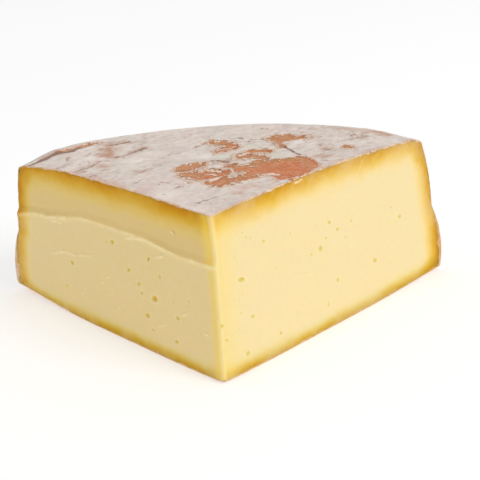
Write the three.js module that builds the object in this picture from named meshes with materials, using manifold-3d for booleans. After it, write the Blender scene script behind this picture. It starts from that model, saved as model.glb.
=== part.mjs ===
// A quarter of a round raclette cheese: a wheel turned from its profile, slumped as it ripened,
// and cut from rim to axis with two knife cuts a quarter turn apart.
// Millimetres, +Z up. The cheese lies on its flat base, and the corner where the cuts meet faces -Y.

import * as THREE from 'three';
import { mergeVertices } from 'three/addons/utils/BufferGeometryUtils.js';
import Module from 'manifold-3d';

// Driving dimensions of the whole wheel
const HEIGHT = 76;            // thickness on the wheel's axis, from the plane it lies on
const HEEL_RADIUS = 157;      // widest part, low on the side where the cheese has sagged
const TOP_RADIUS = 138.6;     // edge of the upper face

// Base
const DISH_RISE = 1;          // the base is dished by this much on the axis
const DISH_RADIUS = 40;       // and lies flat from here
const FLAT_RADIUS = 95;       // out to here
const RIM_TURN_RADIUS = 110;  // the base has turned up towards its rim here
const BASE_RIM_RADIUS = 155.5; // where the base meets the side
const BASE_RIM_RISE = 2;      // lift of that edge above the flat
const LEFT_FOOT_RISE = 2;     // further lift of that edge, beside the left cut
const HEEL_HEIGHT = 9;        // height of the widest part

// Side
const CREASE_RADIUS = 147.7;  // inward fold between the heel's bulge and the upper side
const CREASE_HEIGHT = 37.5;
const HEEL_FULLNESS = 14;     // how far the bulge keeps its width above the heel
const SIDE_BELLY = 1.5;       // outward bow of the upper side

// Upper face
const SHOULDER_DROP = 3;      // the outer edge lies this far under the height on the axis
const SHOULDER_WIDTH = 7;     // width of the worn shoulder beside that edge
const EDGE_ROUND = 2;         // radius worn on the upper edge
const DOME_RISE = 2.2;        // swelling of the upper face half way out, beside the right cut
const DOME_SHARE = 0.7;       // share of that swelling that is left midway between the cuts
const RIM_LIFT = 2;           // rise of the upper face at the rim, between the cuts
const LEFT_SAG = 2.5;         // drop of the upper face at the rim, beside the left cut
const RIM_START = 95;         // radius where that rise and that drop start
const CUT_REACH = 0.22;       // turn from a cut, in radians, over which the rise fades
const SAG_REACH = 0.12;       // and the same for the drop

// Unevenness of a wheel that was pressed and turned by hand, as radial waves on its side
const SIDE_WAVES = [
  { turns: 4, depth: 0.5 },
  { turns: 8, depth: -0.3 },
  { turns: 12, depth: 0.15 },
];

// Cuts
const QUARTER = Math.PI / 2;
const RIGHT_CUT = Math.PI / 4;        // heading of the right cut, from the axis outwards
const LEFT_CUT = RIGHT_CUT + QUARTER; // the left cut was made in two passes, one above the other
const LEDGE_DEPTH = 0.75;             // the upper pass went in this much deeper, leaving a ledge
const UPPER_LEAN = 0.08;              // and it leans out again by this much for each unit of height
const LEDGE_HEIGHT = 53;              // height of the ledge at the axis
const LEDGE_LINE = [[-10, 52.5], [70, 56], [119, 50], [160, 41]]; // its radius and height, axis to rim
const SPARE = 2;                      // left outside the left cut until the passes are made

// Fineness of the curves
const TURN_SEGMENTS = 192;     // round the whole wheel
const CURVE_STEPS = 6;         // along each curved stretch of the profile
const DOME_RINGS = 12;         // rings across the upper face

const wasm = await Module();
wasm.setup();

// Rises smoothly from 0 to 1 as value goes from low to high
const ease = (low, high, value) => THREE.MathUtils.smoothstep(value, low, high);

// The wheel's outline from the axis at the base to the axis at the top
function wheelProfile() {
  const outline = new THREE.Path();
  outline.moveTo(0, DISH_RISE);
  outline.quadraticCurveTo(DISH_RADIUS / 2, 0, DISH_RADIUS, 0);
  outline.lineTo(FLAT_RADIUS, 0);
  outline.quadraticCurveTo(RIM_TURN_RADIUS, 0, BASE_RIM_RADIUS, BASE_RIM_RISE);
  outline.quadraticCurveTo(HEEL_RADIUS, BASE_RIM_RISE, HEEL_RADIUS, HEEL_HEIGHT);
  outline.quadraticCurveTo(
    HEEL_RADIUS, HEEL_HEIGHT + HEEL_FULLNESS, CREASE_RADIUS, CREASE_HEIGHT);

  const edgeHeight = HEIGHT - SHOULDER_DROP;
  outline.quadraticCurveTo(
    (CREASE_RADIUS + TOP_RADIUS) / 2 + 2 * SIDE_BELLY, (CREASE_HEIGHT + edgeHeight) / 2,
    TOP_RADIUS + EDGE_ROUND / 4, edgeHeight - EDGE_ROUND);
  outline.quadraticCurveTo(
    TOP_RADIUS, edgeHeight, TOP_RADIUS - EDGE_ROUND, edgeHeight + EDGE_ROUND / 2);
  outline.lineTo(TOP_RADIUS - SHOULDER_WIDTH, HEIGHT - SHOULDER_DROP / 4);

  const points = outline.getPoints(CURVE_STEPS);
  const faceRadius = TOP_RADIUS - SHOULDER_WIDTH;
  for (let ring = DOME_RINGS - 1; ring >= 0; ring--) {
    const share = ring / DOME_RINGS;
    points.push(new THREE.Vector2(
      faceRadius * share, HEIGHT - (SHOULDER_DROP / 4) * share ** 4));
  }
  return points;
}

// Radial swelling of the side at an angle from the right cut; it is nil at both cuts
function sideWave(angle) {
  return SIDE_WAVES.reduce((sum, wave) => sum + wave.depth * Math.sin(wave.turns * angle), 0);
}

// Height that the upper face gained or lost at a point as the cheese ripened
function topLift(radius, angle) {
  const towardsRight = DOME_SHARE + (1 - DOME_SHARE) * Math.cos(2 * angle);
  const dome = DOME_RISE * Math.sin(Math.PI * Math.min(radius / TOP_RADIUS, 1));
  const between = ease(0, CUT_REACH, angle) * ease(0, CUT_REACH, QUARTER - angle);
  const rim = RIM_LIFT * between - LEFT_SAG * besideLeftCut(angle);
  return dome * towardsRight + rim * ease(RIM_START, TOP_RADIUS, radius);
}

// 1 at the left cut, falling to 0 away from it
function besideLeftCut(angle) {
  return 1 - ease(0, SAG_REACH, Math.abs(QUARTER - angle));
}

// Height that the rim of the base gained beside the left cut
function footLift(radius, angle) {
  return LEFT_FOOT_RISE * ease(FLAT_RADIUS, BASE_RIM_RADIUS, radius) * besideLeftCut(angle);
}

// Moves the points of the turned wheel to the uneven shape of the real one
function slump(geometry) {
  const position = geometry.getAttribute('position');
  const point = new THREE.Vector3();
  for (let i = 0; i < position.count; i++) {
    point.fromBufferAttribute(position, i);
    const radius = Math.hypot(point.x, point.y);
    const angle = Math.atan2(point.y, point.x) - RIGHT_CUT;
    const onSide = ease(FLAT_RADIUS, HEEL_RADIUS, radius) * ease(0, HEEL_HEIGHT, point.z);
    const onTop = ease(HEIGHT / 2, HEIGHT - SHOULDER_DROP, point.z);
    const onBase = 1 - ease(BASE_RIM_RISE, HEEL_HEIGHT, point.z);
    const stretch = 1 + (onSide * sideWave(angle)) / HEEL_RADIUS;
    const lift = onTop * topLift(radius, angle) + onBase * footLift(radius, angle);
    position.setXYZ(i, point.x * stretch, point.y * stretch, point.z + lift);
  }
  return geometry;
}

// A closed three.js geometry as a solid that can be cut
function toSolid(geometry) {
  const bare = geometry.index ? geometry.toNonIndexed() : geometry.clone();
  bare.deleteAttribute('normal');
  bare.deleteAttribute('uv');
  const merged = mergeVertices(bare, 1e-3);
  return new wasm.Manifold(new wasm.Mesh({
    numProp: 3,
    vertProperties: merged.getAttribute('position').array,
    triVerts: new Uint32Array(merged.index.array),
  }));
}

// The solid as a flat-shaded three.js geometry
function toGeometry(solid) {
  const mesh = solid.getMesh();
  const indexed = new THREE.BufferGeometry();
  indexed.setAttribute('position', new THREE.BufferAttribute(mesh.vertProperties, 3));
  indexed.setIndex(new THREE.BufferAttribute(mesh.triVerts, 1));
  const geometry = indexed.toNonIndexed();
  geometry.computeVertexNormals();
  return geometry;
}

// The whole wheel before it is cut
function wheel() {
  const turned = new THREE.LatheGeometry(wheelProfile(), TURN_SEGMENTS).rotateX(Math.PI / 2);
  return toSolid(slump(turned));
}

// The quarter that is kept: a square prism, its right side on the right cut,
// its left side a little outside the left one
function quarterPrism() {
  const reach = 2 * HEEL_RADIUS;
  const plan = new THREE.Shape([
    new THREE.Vector2(-SPARE, 0),
    new THREE.Vector2(reach, 0),
    new THREE.Vector2(reach, reach),
    new THREE.Vector2(-SPARE, reach),
  ]);
  const prism = new THREE.ExtrudeGeometry(plan, { depth: 3 * HEIGHT, bevelEnabled: false });
  return toSolid(prism.translate(0, 0, -HEIGHT).rotateZ(RIGHT_CUT));
}

// What one pass of the knife takes off the left cut: a slab outside the cut plane, between the
// ledge line and a height beyond the cheese. It reaches inset deep, and leans out as it goes up.
function knifePass(endHeight, inset, lean) {
  const ledge = LEDGE_LINE.map(([radius, height]) => new THREE.Vector2(radius, height));
  const face = new THREE.Shape();
  face.moveTo(ledge[0].x, ledge[0].y);
  face.splineThru(ledge.slice(1));
  face.lineTo(ledge.at(-1).x, endHeight);
  face.lineTo(ledge[0].x, endHeight);

  const slab = new THREE.ExtrudeGeometry(
    face, { depth: 3 * SPARE, bevelEnabled: false, curveSegments: CURVE_STEPS });
  // Stands the outline upright along the cut, with the slab's thickness outside it
  slab.rotateX(QUARTER).translate(0, 3 * SPARE, -LEDGE_HEIGHT);
  slab.rotateX(-Math.atan(lean)).translate(0, -inset, LEDGE_HEIGHT);
  return toSolid(slab.rotateZ(LEFT_CUT));
}

const quarter = wheel()
  .intersect(quarterPrism())
  .subtract(knifePass(-HEIGHT, 0, 0))
  .subtract(knifePass(2 * HEIGHT, LEDGE_DEPTH, UPPER_LEAN));

const geometry = toGeometry(quarter);
geometry.computeBoundingBox();
const { min, max } = geometry.boundingBox;

const cheese = new THREE.Mesh(geometry, new THREE.MeshStandardMaterial({
  color: 0xf9e1aa,
  roughness: 0.55,
  metalness: 0,
}));
cheese.name = 'cheese';
cheese.position.set(-(min.x + max.x) / 2, -(min.y + max.y) / 2, -min.z);

const part = new THREE.Group();
part.add(cheese);

export default part;
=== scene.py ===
"""A quarter wheel of raclette cheese: paste with eyes and knife marks, a bloomed rind, and crumbs."""

import logging
import math
from dataclasses import dataclass, field
from enum import Enum
from random import Random
from typing import Sequence

import bmesh
import bpy
from bmesh.types import BMesh, BMEdge, BMVert
from mathutils import Matrix, Vector, noise


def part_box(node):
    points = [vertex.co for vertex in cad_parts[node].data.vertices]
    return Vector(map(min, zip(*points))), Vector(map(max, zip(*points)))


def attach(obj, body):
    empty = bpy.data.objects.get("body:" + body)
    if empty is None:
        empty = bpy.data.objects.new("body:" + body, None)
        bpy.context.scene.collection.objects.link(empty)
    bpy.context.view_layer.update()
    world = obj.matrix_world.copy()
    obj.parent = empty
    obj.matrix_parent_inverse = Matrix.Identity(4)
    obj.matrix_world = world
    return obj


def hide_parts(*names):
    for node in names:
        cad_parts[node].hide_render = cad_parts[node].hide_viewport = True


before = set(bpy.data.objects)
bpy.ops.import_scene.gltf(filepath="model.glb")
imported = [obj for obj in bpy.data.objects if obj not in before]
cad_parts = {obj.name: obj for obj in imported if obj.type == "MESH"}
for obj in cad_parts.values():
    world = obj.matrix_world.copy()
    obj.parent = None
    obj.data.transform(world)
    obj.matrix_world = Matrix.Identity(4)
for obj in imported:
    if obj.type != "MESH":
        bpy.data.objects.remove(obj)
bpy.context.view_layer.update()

NODE = "cheese"
BODY = "root"
MM = 0.001
TINY = 1e-6
GRID_LAYER = "grid"
EYE_REACH = 4.0  # millimetres from its middle within which an eye is looked for

Node = bpy.types.Node
Socket = bpy.types.NodeSocket
Stops = tuple[tuple[float, str], ...]  # a ramp's places and colours
Clouds = tuple[tuple[float, float, str], ...]  # a mottle's lumps to the metre, strength and tint

log = logging.getLogger("raclette")


class Cut(Enum):
    """The two knife cuts, by their heading from the wheel's axis outwards, in degrees."""

    RIGHT = 45
    LEFT = 135

    @property
    def along(self) -> Vector:
        """Level direction from the axis to the rim, in the cut."""
        return Vector((math.cos(math.radians(self.value)), math.sin(math.radians(self.value)), 0))


class Zone(Enum):
    """The faces of the unit block that becomes the quarter wheel."""

    TOP = "top"
    SIDE = "side"
    BASE = "base"
    CUTS = "cuts"


def linear(colour: str) -> tuple[float, float, float, float]:
    """Turns a colour as it is seen on a screen into the shader's own linear values.

    Args:
        colour: six hexadecimal digits, red, green and blue.

    Returns:
        Red, green, blue and an alpha of 1.
    """
    channels = [int(colour[i:i + 2], 16) / 255 for i in (0, 2, 4)]
    values = [c / 12.92 if c <= 0.04045 else ((c + 0.055) / 1.055) ** 2.4 for c in channels]
    return (values[0], values[1], values[2], 1.0)


def ease(low: float, high: float, value: float) -> float:
    """Rises smoothly from 0 to 1 as value goes from low to high.

    Args:
        low: value where the rise starts.
        high: value where it ends; it may be the lower one, for a fall.
        value: where to read it.

    Returns:
        A share from 0 to 1.
    """
    share = min(max((value - low) / (high - low), 0.0), 1.0)
    return share * share * (3 - 2 * share)


def bow(start: Vector, pull: Vector, end: Vector, share: float) -> Vector:
    """A point of the curve from start to end that is drawn towards pull.

    Args:
        start: first point.
        pull: control point.
        end: last point.
        share: how far along, from 0 to 1.

    Returns:
        The point.
    """
    return start * (1 - share) ** 2 + pull * (2 * share * (1 - share)) + end * share ** 2


def ripple(point: Vector, size: float, octaves: int = 3, seed: float = 0.0) -> float:
    """Uneven noise of about -1 to 1.

    Args:
        point: where to read it, in metres.
        size: width of its largest lumps, in metres.
        octaves: how many finer layers it has.
        seed: which of many such patterns.

    Returns:
        The value there.
    """
    shifted = point / size + Vector((seed, -seed, seed * 0.5))
    return noise.fractal(shifted, 0.8, 2.1, octaves)


def distance_to_line(point: Vector, line: Sequence[Vector]) -> float:
    """Shortest distance from a point to a bent line.

    Args:
        point: the point, in the plane of the line.
        line: the line's bends and ends.

    Returns:
        The distance.
    """
    nearest = math.inf
    for start, end in zip(line, line[1:]):
        run = end - start
        share = min(max((point - start).dot(run) / run.length_squared, 0.0), 1.0)
        nearest = min(nearest, (point - start - run * share).length)
    return nearest


@dataclass(frozen=True)
class WheelForm:
    """The shape of the cut wheel, in metres. Angles are counted from the right cut to the left."""

    heel_radius: float
    axis: Vector
    height: float
    dish_rise: float = 1.0 * MM
    dish_radius: float = 40 * MM
    flat_radius: float = 95 * MM
    rim_turn_radius: float = 110 * MM
    base_rim_inset: float = 1.5 * MM
    base_rim_rise: float = 2.0 * MM
    left_foot_rise: float = 2.0 * MM
    heel_height: float = 9 * MM
    heel_fullness: float = 14 * MM
    crease_inset: float = 9.3 * MM
    crease_height: float = 37.5 * MM
    side_belly: float = 1.5 * MM
    top_inset: float = 18.4 * MM
    shoulder_drop: float = 3 * MM
    shoulder_width: float = 7 * MM
    edge_round: float = 2 * MM
    dome_rise: float = 2.2 * MM
    dome_share: float = 0.7
    rim_lift: float = 2.0 * MM
    left_sag: float = 2.5 * MM
    rim_start: float = 95 * MM
    cut_reach: float = 0.22
    sag_reach: float = 0.12
    wave_depths: tuple[float, ...] = (0.5 * MM, -0.3 * MM, 0.15 * MM)
    sway: float = 0.12 * MM
    sway_width: float = 60 * MM
    ledge_depth: float = 0.5 * MM
    ledge_hollow: float = 3.8 * MM
    ledge_lip: float = 0.3 * MM
    lip_width: float = 2.6 * MM
    ledge_height: float = 53 * MM
    upper_lean: float = 0.08
    knife_fade: float = 12 * MM
    corner_wear: float = 2.6 * MM
    corner_turn: float = 0.42
    rind_top: float = 0.9 * MM
    rind_side: float = 0.9 * MM
    rind_heel: float = 4.0 * MM
    rind_base: float = 1.1 * MM

    @classmethod
    def from_frame(cls) -> "WheelForm":
        """Takes the radius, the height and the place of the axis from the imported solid's box."""
        low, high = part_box(NODE)
        overhang = 0.77 * MM  # the leaning upper pass of the left cut stands out past the axis
        crest = 2.15 * MM  # the dome's highest place above the height on the axis
        return cls(
            heel_radius=(high.x - low.x) / math.sqrt(2),
            axis=Vector(((low.x + high.x) / 2, low.y + overhang, 0)),
            height=high.z - crest,
        )

    @property
    def top_radius(self) -> float:
        """Radius of the upper face's edge."""
        return self.heel_radius - self.top_inset

    @property
    def edge_height(self) -> float:
        """Height of the upper face's edge."""
        return self.height - self.shoulder_drop

    def outline(self, share: float) -> Vector:
        """The side's radius and height.

        Args:
            share: how far up the side, from 0 at the base to 1 at the upper face.

        Returns:
            Radius and height, as x and y.
        """
        heel = self.heel_radius
        base = Vector((heel - self.base_rim_inset, self.base_rim_rise))
        widest = Vector((heel, self.heel_height))
        crease = Vector((heel - self.crease_inset, self.crease_height))
        belly = Vector((
            (crease.x + self.top_radius) / 2 + 2 * self.side_belly,
            (crease.y + self.edge_height) / 2,
        ))
        shoulder = Vector((self.top_radius + self.edge_round / 4, self.edge_height - self.edge_round))
        corner = Vector((self.top_radius, self.edge_height))
        edge = Vector((self.top_radius - self.edge_round, self.edge_height + self.edge_round / 2))
        stretches = (
            (0.10, base, Vector((heel, self.base_rim_rise)), widest),
            (0.50, widest, Vector((heel, self.heel_height + self.heel_fullness)), crease),
            (0.94, crease, belly, shoulder),
            (1.00, shoulder, corner, edge),
        )
        start = 0.0
        for end, first, pull, last in stretches:
            if share <= end + TINY:
                return bow(first, pull, last, (share - start) / (end - start))
            start = end
        return edge

    def top(self, radius: float, angle: float) -> float:
        """Height of the upper face.

        Args:
            radius: distance from the axis.
            angle: turn from the right cut.

        Returns:
            The height.
        """
        face_radius = self.top_radius - self.shoulder_width
        quarter_drop = self.shoulder_drop / 4
        if radius <= face_radius:
            worn = quarter_drop * (radius / face_radius) ** 4
        else:
            worn = quarter_drop + (radius - face_radius) / 4
        towards_right = self.dome_share + (1 - self.dome_share) * math.cos(2 * angle)
        dome = self.dome_rise * math.sin(math.pi * min(radius / self.top_radius, 1.0))
        between = ease(0, self.cut_reach, angle) * ease(0, self.cut_reach, math.pi / 2 - angle)
        rim = self.rim_lift * between - self.left_sag * self.beside_left(angle)
        at_rim = ease(self.rim_start, self.top_radius, radius)
        return self.height - worn + dome * towards_right + rim * at_rim

    def beside_left(self, angle: float) -> float:
        """1 at the left cut, falling to 0 away from it."""
        return 1 - ease(0, self.sag_reach, abs(math.pi / 2 - angle))

    def base(self, radius: float) -> float:
        """Height of the underside at a radius."""
        dish = max(0.0, 1 - radius / self.dish_radius) ** 2
        start, pull = self.flat_radius, self.rim_turn_radius
        end = self.heel_radius - self.base_rim_inset
        bend, slope, gap = start - 2 * pull + end, pull - start, max(0.0, radius - start)
        share = (math.sqrt(slope * slope + bend * gap) - slope) / bend
        return self.dish_rise * dish + self.base_rim_rise * share * share

    def foot_lift(self, radius: float, angle: float) -> float:
        """How far the rim of the underside is lifted beside the left cut."""
        end = self.heel_radius - self.base_rim_inset
        return self.left_foot_rise * ease(self.flat_radius, end, radius) * self.beside_left(angle)

    def side_skin(self, height: float) -> float:
        """Thickness of the rind in the side at a height: it is rolled thick in the sagging heel."""
        in_heel = ease(self.crease_height, 0.45 * self.crease_height, height)
        above_rim = ease(self.base_rim_rise, self.heel_height, height)
        thick = self.rind_heel * (0.8 + 0.2 * above_rim)
        return self.rind_side + (thick - self.rind_side) * in_heel

    def place(self, grid: Vector, inset: float = 0.0) -> Vector:
        """Where a point of the unit block lies in the cheese.

        Args:
            grid: place in the block, x along the right cut, y along the left one, z upwards.
            inset: how deep in the rind, from 0 at the surface to 1 at its inner side.

        Returns:
            The point, before the knife's unevenness.
        """
        across = grid.x * math.sqrt(1 - grid.y ** 2 / 2)
        along = grid.y * math.sqrt(1 - grid.x ** 2 / 2)
        share = math.hypot(across, along)
        angle = math.atan2(along, across) if share > TINY else math.pi / 4
        side = self.outline(grid.z)
        foot, edge = self.outline(0.0), self.outline(1.0)
        level = (side.y - foot.y) / (edge.y - foot.y)
        radius = side.x - inset * self.side_skin(side.y)
        wave = sum(d * math.sin(4 * (i + 1) * angle) for i, d in enumerate(self.wave_depths))
        radius += wave * share ** 4 * ease(0, self.heel_height, side.y)
        low = self.base(share * foot.x) + inset * self.rind_base
        high = self.top(share * edge.x, angle) - inset * self.rind_top
        flat = Cut.RIGHT.along * (across * radius) + Cut.LEFT.along * (along * radius)
        on_base = 1 - ease(self.base_rim_rise, self.heel_height, side.y)
        lift = on_base * self.foot_lift(share * foot.x, angle)
        return self.axis + flat + Vector((0, 0, low + level * (high - low) + lift))

    @staticmethod
    def ledge_line(radius: float) -> float:
        """Height of the ledge between the knife's two passes on the left cut, at a radius."""
        bends = ((-40, 54.5), (23, 52.9), (47, 55.4), (85, 55.3), (119, 49.5), (200, 32))
        for (start, low), (end, high) in zip(bends, bends[1:]):
            if radius <= end * MM:
                break
        return (low + (high - low) * ease(start * MM, end * MM, radius)) * MM

    def knife_offset(self, cut: Cut, radius: float, height: float) -> float:
        """How far the cut surface stands out of its plane.

        Args:
            cut: which cut.
            radius: distance from the axis.
            height: height above the ground.

        Returns:
            The distance outwards, negative where the knife went deeper.
        """
        point = Vector((radius, 3 * height, cut.value))
        worn = max(0.0, self.corner_wear - radius) ** 2 * self.corner_turn / (2 * self.corner_wear)
        sway = self.sway * ripple(point, self.sway_width, 2) - worn
        if cut is Cut.RIGHT:
            return sway
        line = self.ledge_line(radius)
        above = ease(line, line + self.ledge_hollow, height)
        leaning = self.upper_lean * (height - self.ledge_height) - self.ledge_depth
        lip = self.ledge_lip * ease(line - self.lip_width, line, height) * (1 - above)
        return sway + above * leaning + lip

    def polar(self, point: Vector) -> tuple[float, float]:
        """Distances of a point from the axis along the right cut and along the left one."""
        flat = point - self.axis
        return flat.dot(Cut.RIGHT.along), flat.dot(Cut.LEFT.along)

    def shifted(self, point: Vector) -> Vector:
        """Moves a point beside a cut with the knife's unevenness.

        Args:
            point: a point from place().

        Returns:
            The moved point. The shift fades out away from the cut.
        """
        right, left = self.polar(point)
        near_left = max(0.0, 1 - right / self.knife_fade)
        near_right = max(0.0, 1 - left / self.knife_fade)
        out_left = self.knife_offset(Cut.LEFT, left, point.z) * near_left if near_left else 0.0
        out_right = self.knife_offset(Cut.RIGHT, right, point.z) * near_right if near_right else 0.0
        return point - Cut.RIGHT.along * out_left - Cut.LEFT.along * out_right


class UnitBlock:
    """A cube from 0 to 1 each way, divided into cells, that is bent into the quarter wheel."""

    def __init__(self, cells: int, rows: int) -> None:
        """Makes the divided cube.

        Args:
            cells: how many cells along each cut.
            rows: how many cells up the height.
        """
        self.mesh: BMesh = bmesh.new()
        centre = Matrix.Translation((0.5, 0.5, 0.5))
        bmesh.ops.create_cube(self.mesh, size=1.0, matrix=centre)
        for axis, count in enumerate((cells, cells, rows)):
            edges = [e for e in self.mesh.edges if self._runs_along(e, axis)]
            bmesh.ops.subdivide_edges(self.mesh, edges=edges, cuts=count - 1, use_grid_fill=True)

    @staticmethod
    def _runs_along(edge: BMEdge, axis: int) -> bool:
        """True if the edge runs along that axis of the block."""
        return abs(edge.verts[0].co[axis] - edge.verts[1].co[axis]) > TINY

    @staticmethod
    def zones(grid: Vector) -> set[Zone]:
        """The faces of the block that a point lies on."""
        found = set()
        if grid.z > 1 - TINY:
            found.add(Zone.TOP)
        if grid.z < TINY:
            found.add(Zone.BASE)
        if max(grid.x, grid.y) > 1 - TINY:
            found.add(Zone.SIDE)
        if min(grid.x, grid.y) < TINY:
            found.add(Zone.CUTS)
        return found

    def _edges_on(self, zone: Zone) -> set[BMEdge]:
        """The edges of the faces in a zone."""
        edges = set()
        for face in self.mesh.faces:
            if zone in self.zones(face.calc_center_median()):
                edges.update(face.edges)
        return edges

    def refine(self, zones: Sequence[Zone], cuts: int) -> None:
        """Divides the cells of some zones further.

        Args:
            zones: the zones to refine.
            cuts: how many cuts each of their edges gets.
        """
        edges = set().union(*(self._edges_on(zone) for zone in zones))
        bmesh.ops.subdivide_edges(self.mesh, edges=list(edges), cuts=cuts, use_grid_fill=True)

    def open_cuts(self) -> None:
        """Takes away the faces of the two cuts."""
        gone = [f for f in self.mesh.faces if Zone.CUTS in self.zones(f.calc_center_median())]
        bmesh.ops.delete(self.mesh, geom=gone, context="FACES")

    def bend(self, form: WheelForm, inset: float) -> None:
        """Bends the block into the quarter wheel and keeps each vertex's place in the block.

        Args:
            form: the shape of the wheel.
            inset: how deep in the rind the outer faces lie.
        """
        layer = self.mesh.verts.layers.float_vector.new(GRID_LAYER)
        for vert in self.mesh.verts:
            vert[layer] = vert.co
            vert.co = form.place(vert.co, inset)


@dataclass(frozen=True)
class Eye:
    """A small hole in the paste. Sizes in millimetres, turn in degrees."""

    cut: Cut
    radius: float
    height: float
    width: float
    stretch: float = 1.3
    turn: float = 0.0

    def near(self, radius: float, height: float) -> bool:
        """True where the eye may matter, from the axis and the ground in metres."""
        return max(abs(radius / MM - self.radius), abs(height / MM - self.height)) < EYE_REACH

    def reach(self, radius: float, height: float) -> float:
        """Distance from the eye's middle as a share of its half width.

        Args:
            radius: distance from the axis, in metres.
            height: height above the ground, in metres.

        Returns:
            The share: 0 in the middle, 1 at the eye's edge.
        """
        turn = math.radians(self.turn)
        across, upward = radius / MM - self.radius, height / MM - self.height
        along = across * math.cos(turn) + upward * math.sin(turn)
        aside = upward * math.cos(turn) - across * math.sin(turn)
        return math.hypot(along, aside * self.stretch) / (self.width / 2)


@dataclass(frozen=True)
class Scratch:
    """A line that the knife tore or pressed into a cut, in millimetres from axis and ground."""

    cut: Cut
    start: tuple[float, float]
    end: tuple[float, float]
    lift: float
    width: float = 0.8

    def strength(self, point: Vector) -> float:
        """How strongly the line shows at a point of the cut, from 0 to 1."""
        line = (Vector(self.start) * MM, Vector(self.end) * MM)
        return ease(self.width * MM, 0.0, distance_to_line(point, line))


def eyes_in_view() -> list[Eye]:
    """The eyes large enough to be told apart, and scattered pinholes between them."""
    right = [
        (13.7, 43.5, 3.8, 2.0, -12), (27.7, 56.1, 2.0, 1.6, -10), (69.4, 52.0, 2.4, 1.4),
        (75, 47, 2.2, 1.7, -8), (66.9, 45.3, 1.6), (63.1, 41.4, 2.6, 1.2), (56.9, 40.8, 1.7),
        (84.5, 48.3, 1.5), (114.4, 46.1, 1.3), (121, 39.5, 2.2, 1.0, -30), (101.9, 22.9, 3.0, 1.6, -5),
        (74.4, 22.3, 1.7, 0.8), (35.4, 10.5, 1.9), (15, 8.9, 2.6, 1.2, 35), (18.8, 24.9, 2.2, 1.3, -15),
        (12.3, 28.9, 1.1), (2.8, 19.9, 1.8), (0.6, 27, 2.0), (10.6, 22.3, 1.0), (17.5, 61, 1.2),
        (19.8, 60, 1.1), (15.6, 64, 1.0), (43.8, 54.5, 1.1), (80.0, 41.8, 1.1), (81.4, 41.0, 1.0),
        (95.6, 12.3, 1.1), (132.8, 15.8, 1.0), (67.5, 12.6, 1.1, 0.4),
    ]
    left = [
        (68.7, 48.1, 2.9, 1.3, -30), (72.9, 47.3, 1.7, 1.4, -20), (43.4, 46.2, 2.9, 2.4, -40),
        (58.4, 37.2, 2.5, 1.6, -30), (51.8, 32.3, 2.2, 1.2), (50.1, 28.4, 1.9, 1.6, -60),
        (41.8, 27.8, 3.9, 1.4, -25), (47.9, 17.8, 3.0, 1.4), (26.8, 22.9, 2.3), (29, 10.9, 2.3, 1.3, -15),
        (44.6, 11.8, 1.6, 1.0), (102.7, 29.2, 2.6, 1.2, -15), (109.6, 15.3, 1.8), (36.6, 39.8, 1.4, 0.7),
        (28.4, 30.3, 1.3), (18.4, 33.4, 1.4), (55.1, 32, 1.1), (12.3, 20.3, 1.2), (21, 26.5, 1.3),
    ]
    eyes = [Eye(Cut.RIGHT, *values) for values in right] + [Eye(Cut.LEFT, *values) for values in left]
    dice = Random(7)
    pinholes = 16  # scattered on each cut
    for cut in Cut:
        for _ in range(pinholes):
            radius, height = dice.uniform(4, 138), dice.uniform(8, 62)
            eyes.append(Eye(cut, radius, height, dice.uniform(0.8, 1.1)))
    return eyes


def knife_scratches() -> list[Scratch]:
    """The knife's tears and drag lines."""
    right, left = Cut.RIGHT, Cut.LEFT
    return [
        Scratch(left, (118.4, 30.3), (108.4, 33.7), 0.16, 1.1),
        Scratch(left, (108.4, 33.7), (98.4, 34.2), 0.22, 1.4),
        Scratch(left, (98.4, 34.2), (85.7, 37.0), 0.14, 0.9),
        Scratch(left, (97.3, 15.3), (90.7, 11.4), 0.2, 1.0),
        Scratch(left, (119.5, 49.0), (103.4, 52.6), 0.22, 1.3),
        Scratch(left, (117, 47.6), (108, 48.6), 0.14, 0.9),
        Scratch(left, (94, 53.7), (85, 55.0), 0.2, 0.9),
        Scratch(left, (58.0, 52.5), (46, 55.0), 0.14, 1.1),
        Scratch(left, (44, 55.2), (24, 53.0), 0.16, 0.9),
        Scratch(left, (25.5, 63.8), (24.2, 62.3), 0.2, 0.6),
        Scratch(left, (26.2, 62.6), (24.2, 62.2), 0.15, 0.5),
        Scratch(left, (38, 48.3), (33.5, 50.0), 0.16, 1.1),
        Scratch(left, (40.6, 14.6), (35.5, 16.6), 0.12, 0.7),
        Scratch(left, (69.2, 14.6), (67.6, 16.2), 0.18, 0.8),
        Scratch(left, (76.0, 28.8), (74.2, 29.4), 0.18, 1.0),
        Scratch(left, (80.4, 25.0), (78.6, 25.8), 0.12, 0.8),
        Scratch(left, (23.4, 25.4), (19.5, 27.4), 0.2, 1.0),
        Scratch(left, (9.6, 20.6), (7.6, 21.2), 0.2, 1.0),
        Scratch(left, (76.0, 19.6), (74.6, 20.2), 0.14, 0.7),
        Scratch(right, (92.8, 74.5), (89.0, 68.0), 0.04, 1.2),
        Scratch(right, (37, 32.0), (47, 34.4), 0.08, 0.6),
        Scratch(right, (47, 34.4), (57, 31.0), 0.06, 0.6),
        Scratch(right, (119.4, 41.6), (117.2, 42.4), 0.1, 1.0),
        Scratch(right, (48, 76.2), (52, 76.6), 0.1, 1.2),
    ]


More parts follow.
